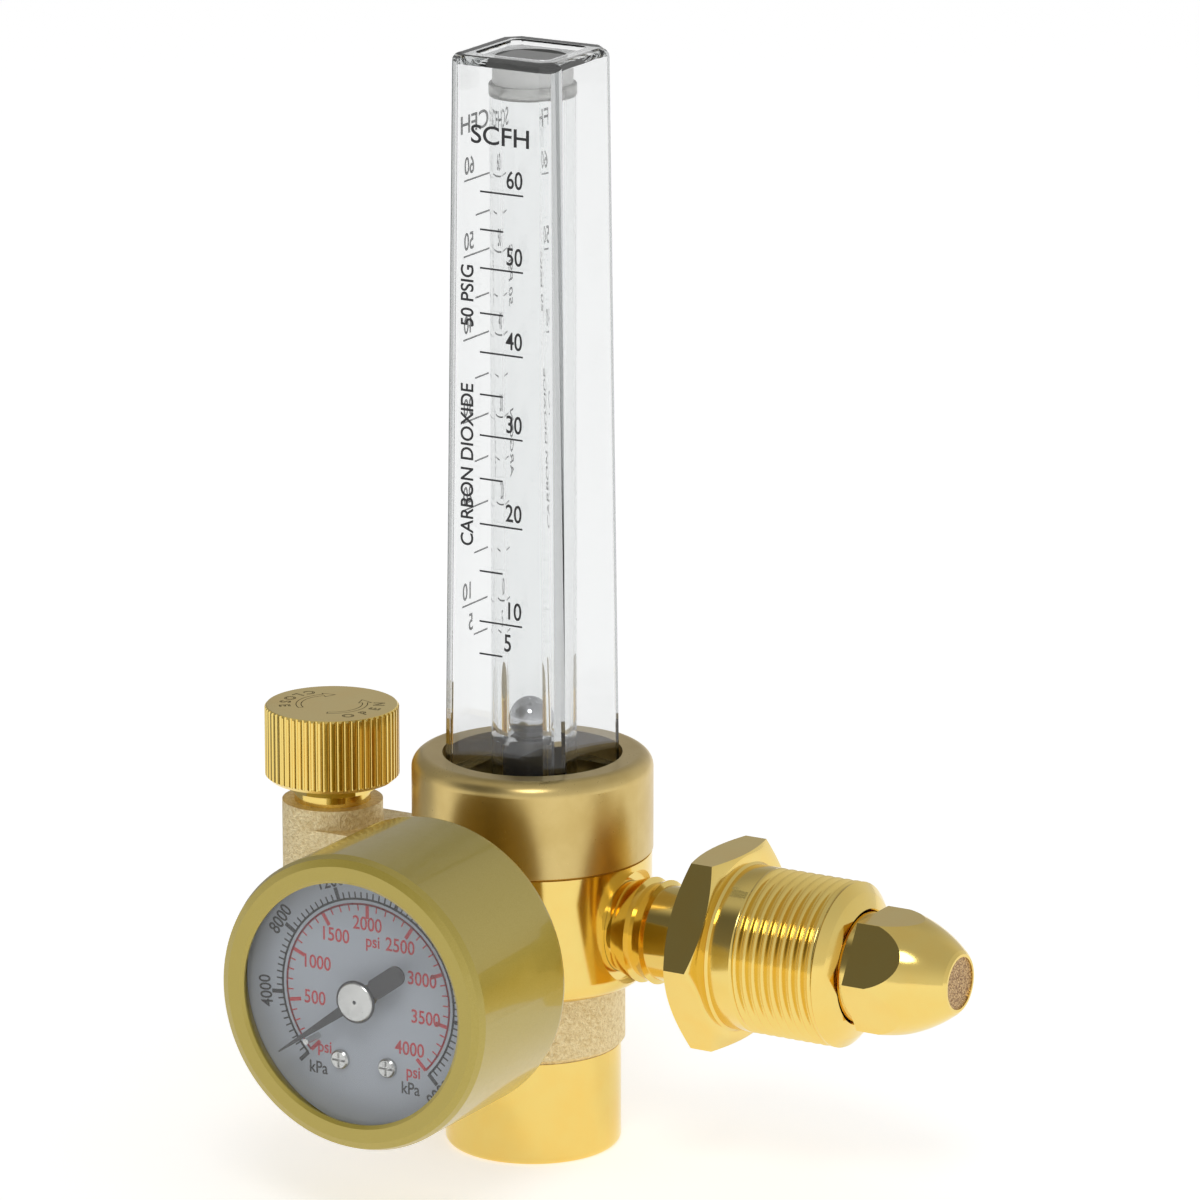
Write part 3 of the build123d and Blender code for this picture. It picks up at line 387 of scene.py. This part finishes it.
# ---------------------------------------------------------------- inlet nut
def inlet_nut():
    """Gas cylinder nut: chamfered hexagon, plain neck, helical thread and a coned end.

    The pitch is the one that the photograph shows. A CGA 580 thread of this diameter has 1.81 mm.
    """
    low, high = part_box("inlet_nut")
    centre_z = (low.z + high.z) / 2
    flat = high.z - low.z
    start, end = low.x, high.x
    hex_end = start + 6.0 * MM
    neck_end = start + 9.8 * MM
    thread_end = end - 2.2 * MM
    outer = 12.25 * MM
    bore = 7.15 * MM
    nose_bore = 8.4 * MM
    shoulder = 46.0 * MM
    pitch, depth, fade = 1.53 * MM, 0.85 * MM, 0.9 * MM

    def place(axial, radius, angle):
        return Vector((axial, radius * cos(angle), centre_z + radius * sin(angle)))

    rows = [fixed(start, bore + 0.3 * MM)]
    rows += chamfered_hexagon(start, hex_end, flat, flat / 2 - 0.35 * MM, 0.5)
    rows += [fixed(hex_end, outer + 0.35 * MM), fixed(hex_end + 0.35 * MM, outer), fixed(neck_end, outer)]
    rows += helix_rows(neck_end, thread_end, outer, depth, pitch, fade)
    rows += [fixed(thread_end, outer), fixed(end - 1.05 * MM, 10.85 * MM), fixed(end - 0.95 * MM, 10.7 * MM)]
    rows += [fixed(end, nose_bore + 0.2 * MM), fixed(end - 0.2 * MM, nose_bore)]
    rows += [fixed(shoulder, nose_bore), fixed(shoulder, bore), fixed(start + 0.3 * MM, bore)]
    bm = grid_mesh(rows, 288, place)
    piece = finish_mesh("inlet_nut_threaded", bm, "inlet_nut", "polished_brass")
    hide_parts("inlet_nut")


inlet_nut()


# ---------------------------------------------------------------- lettering
CAPITAL_SHARE = 0.73  # height of a capital letter over the size of the font


def text_outline(text, size, width=1.0, bold=0.0):
    """Flat faces of a word in the built-in letters, in metres, `size` being the capital height."""
    curve = bpy.data.curves.new("letters", "FONT")
    curve.body = text
    curve.align_x = "CENTER"
    curve.offset = bold
    curve.align_y = "CENTER"
    curve.size = size / CAPITAL_SHARE
    curve.resolution_u = 6
    holder = bpy.data.objects.new("letters", curve)
    mesh = bpy.data.meshes.new_from_object(holder)
    bm = bmesh.new()
    bm.from_mesh(mesh)
    bmesh.ops.scale(bm, vec=(width, 1, 1), verts=bm.verts)
    bpy.data.objects.remove(holder)
    bpy.data.curves.remove(curve)
    bpy.data.meshes.remove(mesh)
    return bm


def add_flat(target, source, move):
    """Copy the faces of source into target, each point through move(u, v)."""
    copies = {}
    for vertex in source.verts:
        copies[vertex] = target.verts.new(move(vertex.co.x, vertex.co.y))
    for face in source.faces:
        target.faces.new([copies[vertex] for vertex in face.verts])
    source.free()


def add_quad(target, corners):
    target.faces.new([target.verts.new(corner) for corner in corners])


def thicken(bm, away, thickness):
    """Give flat ink its thickness towards `away`."""
    grown = bmesh.ops.extrude_face_region(bm, geom=list(bm.faces))
    moved = [item for item in grown["geom"] if isinstance(item, bmesh.types.BMVert)]
    bmesh.ops.translate(bm, vec=Vector(away) * thickness, verts=moved)


def turn(u, v, angle):
    return u * cos(angle) - v * sin(angle), u * sin(angle) + v * cos(angle)


# ---------------------------------------------------------------- scale on the flow tube's cover
INK = 0.04 * MM
TUBE_MARKS = {  # flow, height above the base in mm
    5: 77.3, 10: 82.2, 15: 89.8, 20: 96.9, 25: 103.7, 30: 110.2,
    35: 116.3, 40: 122.6, 45: 128.4, 50: 135.1, 55: 140.8, 60: 146.4,
}


def cover_half(z):
    """Half width of the tapering cover at a height."""
    low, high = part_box("tube_cover")
    taper_start = 56.9 * MM
    wide = 10.28 * MM
    narrow = 9.2 * MM
    share = (z - taper_start) / (high.z - taper_start)
    return wide + (narrow - wide) * share


def cover_scale(name, gas, side):
    """A scale on one face of the cover, turned from the -Y face by `side` degrees about Z."""
    bm = bmesh.new()
    spin = Matrix.Rotation(radians(side), 3, "Z")
    outward = spin @ Vector((0, -1, 0))

    def move(u, v):
        return spin @ Vector((u, -cover_half(v) - 0.01 * MM, v))

    def word(text, x, z, size, width, upright=True):
        letters = text_outline(text, size, width, 0.035 * MM)
        if upright:
            add_flat(bm, letters, lambda u, v: move(x + u, z + v))
        else:
            add_flat(bm, letters, lambda u, v: move(x - v, z + u))

    word("SCFH", 0.4 * MM, 154.75 * MM, 2.8 * MM, 1.12)
    word(gas, -5.05 * MM, 105.6 * MM, 2.2 * MM, 0.96, upright=False)
    word("50 PSIG", -5.05 * MM, 130.9 * MM, 2.2 * MM, 0.96, upright=False)
    line = 0.26 * MM
    for flow, height in TUBE_MARKS.items():
        left = -3.0 * MM
        right = 4.25 * MM if flow % 10 == 0 else 0.9 * MM
        z = height * MM
        add_quad(bm, [move(left, z), move(right, z), move(right, z + line), move(left, z + line)])
        if flow % 10 == 0 or flow == 5:
            word(str(flow), (2.75 if flow > 9 else 1.8) * MM, z + 2.15 * MM, 2.7 * MM, 0.76)
    thicken(bm, outward, INK)
    finish_mesh(name, bm, "regulator", "pointer_black", "black_ink", sharp=60)


cover_scale("flow_scale_print", "CARBON DIOXIDE", 0)
cover_scale("flow_scale_print_side", "ARGON", -90)


# ---------------------------------------------------------------- gauge dial
DIAL_START = radians(225)  # zero, counter-clockwise from +X seen from the front
DIAL_SWEEP = radians(270)
FULL_PSI = 4000
FULL_KPA = 28000


def dial_print():
    low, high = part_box("dial")
    centre = Vector(((low.x + high.x) / 2, low.y - 0.01 * MM, (low.z + high.z) / 2))

    def move(u, v):
        return centre + Vector((u, 0, v))

    def angle_of(value, full):
        return DIAL_START - DIAL_SWEEP * value / full

    def tick(bm, angle, inner, outer, width):
        corners = [(inner, -width), (outer, -width), (outer, width), (inner, width)]
        add_quad(bm, [move(*turn(radius * MM, side * MM / 2, angle)) for radius, side in corners])

    def arc(bm, inner, outer, first, last, steps=180):
        for step in range(steps):
            start = first + (last - first) * step / steps
            stop = first + (last - first) * (step + 1) / steps
            add_quad(bm, [move(radius * MM * cos(a), radius * MM * sin(a))
                          for radius, a in ((inner, start), (outer, start), (outer, stop), (inner, stop))])

    def word(bm, text, x, z, size, angle=0.0, width=0.86):
        def place(u, v):
            du, dv = turn(u, v, angle)
            return move(x * MM + du, z * MM + dv)

        add_flat(bm, text_outline(text, size * MM, width, 0.03 * MM), place)

    red = bmesh.new()
    end = DIAL_START - DIAL_SWEEP
    arc(red, 13.55, 13.85, DIAL_START, end)
    for value in range(0, FULL_PSI + 1, 100):
        major = value % 500 == 0
        tick(red, angle_of(value, FULL_PSI), 11.6 if major else 12.7, 13.7, 0.55 if major else 0.2)
        if major and value:
            angle = angle_of(value, FULL_PSI)
            reach = {500: 9.2, 1000: 9.4, 2000: 10.7}.get(value, 9.9)
            word(red, str(value), reach * cos(angle), reach * sin(angle), 2.1)
    word(red, "psi", 0.9, 8.2, 1.9)
    word(red, "psi", -7.4, -9.0, 1.9)
    word(red, "psi", 7.6, -10.4, 1.9)
    thicken(red, (0, -1, 0), INK)
    finish_mesh("dial_psi_print", red, "regulator", "dial_face", "red_ink", sharp=60)

    black = bmesh.new()
    arc(black, 14.3, 14.62, DIAL_START, end)
    for value in range(0, FULL_KPA + 1, 400):
        major = value % 4000 == 0
        tick(black, angle_of(value, FULL_KPA), 14.4, 16.4 if major else 15.5, 0.6 if major else 0.22)
        if major and value:
            angle = angle_of(value, FULL_KPA)
            word(black, str(value), 17.4 * cos(angle), 17.4 * sin(angle), 2.05, angle - pi / 2)
    word(black, "kPa", -8.5, -12.3, 1.9)
    word(black, "kPa", 7.1, -13.0, 1.9)
    thicken(black, (0, -1, 0), INK)
    finish_mesh("dial_kpa_print", black, "regulator", "pointer_black", "black_ink", sharp=60)


dial_print()


# ---------------------------------------------------------------- knob engraving
CUT = 0.12 * MM  # width of an engraved line
ARROW_HEAD = 20  # length of an arrow's head in degrees


def add_stroke(target, points, width, move):
    """A closed line of constant width through flat points."""
    for (x0, y0), (x1, y1) in zip(points, points[1:] + points[:1]):
        length = hypot(x1 - x0, y1 - y0)
        ax, ay = (x1 - x0) / length * width / 2, (y1 - y0) / length * width / 2
        near, far = (x0 - ax, y0 - ay), (x1 + ax, y1 + ay)
        corners = [(*near, -1), (*far, -1), (*far, 1), (*near, 1)]
        add_quad(target, [move(x - side * ay, y + side * ax) for x, y, side in corners])


def letter_loops(letter, size):
    """The closed outlines of a built-in letter, as lists of flat points."""
    bm = text_outline(letter, size)
    ahead = {}
    for edge in bm.edges:
        if edge.is_boundary:
            loop = edge.link_loops[0]
            ahead[loop.vert.index] = (loop.vert.co.copy(), loop.link_loop_next.vert.index)
    loops = []
    while ahead:
        index = next(iter(ahead))
        points = []
        while index in ahead:
            place, index = ahead.pop(index)
            points.append((place.x, place.y))
        loops.append(points)
    bm.free()
    return loops


def knob_engraving():
    """OPEN and CLOSE with curved arrows, drawn as thin dark outlines that carry painted shade of engraved
    grooves; the letters' tops point to the centre.
    """
    low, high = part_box("knob")
    centre = Vector(((low.x + high.x) / 2, (low.y + high.y) / 2, high.z - 0.01 * MM))
    bm = bmesh.new()

    def move(x, y):
        return centre + Vector((x, y, 0))

    def letters(text, radius, first, last, size):
        for index, letter in enumerate(text):
            angle = radians(first + (last - first) * index / (len(text) - 1))
            for points in letter_loops(letter, size):
                laid = [turn(radius - v, u, angle) for u, v in points]
                add_stroke(bm, laid, CUT, move)

    def arrow(radius, first, last, half):
        """Outline of an arrow bent along an arc, its head at `last`."""
        way = 1 if last > first else -1
        neck = last - way * ARROW_HEAD
        wings = 2.6 * half
        shaft = [first + (neck - first) * step / 18 for step in range(19)]
        points = [(radius - half, angle) for angle in shaft] + [(radius - wings, neck), (radius, last)]
        points += [(radius + wings, neck)] + [(radius + half, angle) for angle in reversed(shaft)]
        add_stroke(bm, [turn(r, 0, radians(angle)) for r, angle in points], CUT, move)

    letters("OPEN", 7.2 * MM, -38, 28, 1.7 * MM)
    letters("CLOSE", 7.2 * MM, 150, 218, 1.7 * MM)
    arrow(5.0 * MM, -66, 56, 0.38 * MM)
    arrow(5.0 * MM, 234, 116, 0.38 * MM)
    thicken(bm, (0, 0, 1), 0.01 * MM)
    # the dark strokes lie on the knob's face; their colour is painted shade of the grooves over the duller
    # cut brass
    finish_mesh("knob_engraving", bm, "knob", "polished_brass", "engraving", sharp=60)


def knob_top_disc():
    """A satin disc for the knob's top. It lies `sunk` under the CAD face, which hides it."""
    low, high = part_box("knob")
    centre = Vector(((low.x + high.x) / 2, (low.y + high.y) / 2, 0))
    radius = (high.x - low.x) / 2 - 0.62 * MM
    hole = 0.05 * MM
    sunk = 0.012 * MM
    top, bottom = high.z - sunk, high.z - 0.03 * MM

    def place(axial, reach, angle):
        return centre + Vector((reach * cos(angle), reach * sin(angle), axial))

    rows = [fixed(bottom, radius), fixed(top, radius), fixed(top, hole), fixed(bottom, hole)]
    finish_mesh("knob_facing", grid_mesh(rows, 96, place), "knob", "polished_brass", "knob_top")


knob_top_disc()
knob_engraving()


# ---------------------------------------------------------------- pointer hub
def hub_details():
    """Dark ring under the hub's cap and a small black dot at the cap's centre."""
    low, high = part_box("pointer_hub")
    centre = Vector(((low.x + high.x) / 2, 0, (low.z + high.z) / 2))
    face = low.y
    radius = (high.x - low.x) / 2

    def place(axial, reach, angle):
        return centre + Vector((reach * cos(angle), axial, reach * sin(angle)))

    back = face + 0.45 * MM
    ring = [(back, radius - 0.3 * MM), (back, radius + 0.28 * MM), (back - 0.2 * MM, radius + 0.28 * MM)]
    ring += [(back - 0.3 * MM, radius + 0.1 * MM), (back - 0.3 * MM, radius - 0.3 * MM)]
    bm = grid_mesh([fixed(*point) for point in ring], 96, place)
    finish_mesh("hub_ring", bm, "pointer", "pointer_black")
    # a thin black disc standing just proud of the cap's face at its centre
    centre_dot = [(face + 0.02 * MM, 0.32 * MM), (face - 0.01 * MM, 0.28 * MM), (face - 0.01 * MM, 0.02 * MM)]
    centre_dot += [(face + 0.02 * MM, 0.02 * MM)]
    bm = grid_mesh([fixed(*point) for point in centre_dot], 32, place)
    finish_mesh("hub_mark", bm, "pointer", "pointer_black")


hub_details()


# ---------------------------------------------------------------- studio
FLOOR_SIZE = 14.0
FLAG_X = -0.15


def add_floor():
    mesh = bpy.data.meshes.new("floor")
    half = FLOOR_SIZE / 2
    corners = [(-half, -half, 0), (half, -half, 0), (half, half, 0), (-half, half, 0)]
    mesh.from_pydata(corners, [], [(0, 1, 2, 3)])
    s = Shader("floor_paper", (0.9, 0.9, 0.9), 0.9)
    s.set("Specular IOR Level", 0.0)
    s.set("Emission Color", (1, 1, 1, 1))
    s.set("Emission Strength", 0.53)
    mesh.materials.append(s.material)
    floor = bpy.data.objects.new("floor", mesh)
    bpy.context.scene.collection.objects.link(floor)


def add_world():
    """A pale room: bright all round at floor level, greyer overhead, with one dark patch in front."""
    world = bpy.data.worlds.new("studio")
    world.use_nodes = True
    tree = world.node_tree
    tree.nodes.clear()

    def math(operation, first, second=0.0):
        node = tree.nodes.new("ShaderNodeMath")
        node.operation = operation
        for socket, value in zip(node.inputs, (first, second)):
            if isinstance(value, bpy.types.NodeSocket):
                tree.links.new(value, socket)
            else:
                socket.default_value = value
        return node.outputs[0]

    def step(value, low, high, to_low, to_high):
        node = tree.nodes.new("ShaderNodeMapRange")
        node.interpolation_type = "SMOOTHSTEP"
        tree.links.new(value, node.inputs[0])
        for socket, number in zip(node.inputs[1:5], (low, high, to_low, to_high)):
            socket.default_value = number
        return node.outputs[0]

    direction = tree.nodes.new("ShaderNodeTexCoord").outputs["Generated"]
    parts = tree.nodes.new("ShaderNodeSeparateXYZ")
    tree.links.new(direction, parts.inputs[0])

    def toward(azimuth, elevation):
        """Cosine of the angle from a direction; azimuth 0 is -Y, and it turns towards +X."""
        node = tree.nodes.new("ShaderNodeVectorMath")
        node.operation = "DOT_PRODUCT"
        tree.links.new(direction, node.inputs[0])
        az, el = radians(azimuth), radians(elevation)
        node.inputs[1].default_value = (sin(az) * cos(el), -cos(az) * cos(el), sin(el))
        return node.outputs["Value"]

    level = step(parts.outputs[2], 0.05, 0.85, 0.98, 0.66)
    dark = step(toward(-25, 34), 0.80, 0.96, 1.0, 0.25)
    level = math("MULTIPLY", level, dark)
    back = step(toward(-130, 20), 0.5, 0.95, 1.0, 0.6)
    level = math("MULTIPLY", level, back)
    shader = tree.nodes.new("ShaderNodeBackground")
    tree.links.new(level, shader.inputs["Strength"])
    output = tree.nodes.new("ShaderNodeOutputWorld")
    tree.links.new(shader.outputs[0], output.inputs["Surface"])
    bpy.context.scene.world = world


def add_light(name, place, target, size, power):
    data = bpy.data.lights.new(name, "AREA")
    data.shape = "DISK"
    data.size = size
    data.energy = power
    light = bpy.data.objects.new(name, data)
    light.location = place
    light.rotation_euler = (Vector(place) - Vector(target)).to_track_quat("Z", "Y").to_euler()
    bpy.context.scene.collection.objects.link(light)


def add_flag():
    """A grey card on the left that shows only in reflections, as a photographer's flag does."""
    mesh = bpy.data.meshes.new("flag")
    x, near, far, top = FLAG_X, -0.05, 0.16, 0.16
    mesh.from_pydata([(x, near, 0), (x, far, 0), (x, far, top), (x, near, top)], [], [(0, 1, 2, 3)])
    mesh.materials.append(Shader("flag_card", (0.35, 0.35, 0.35), 0.9).material)
    flag = bpy.data.objects.new("flag", mesh)
    flag.visible_camera = False
    flag.visible_shadow = False
    flag.visible_diffuse = False
    flag.visible_transmission = False
    bpy.context.scene.collection.objects.link(flag)


add_floor()
add_world()
add_flag()
add_light("key", (0.5, -0.9, 1.2), (0, 0, 0.08), 0.5, 3.5)
bpy.context.scene.view_settings.view_transform = "Standard"
# light runs far inside the clear cover's walls before it leaves them
bpy.context.scene.cycles.max_bounces = 24
bpy.context.scene.cycles.glossy_bounces = 24
bpy.context.scene.cycles.transmission_bounces = 24
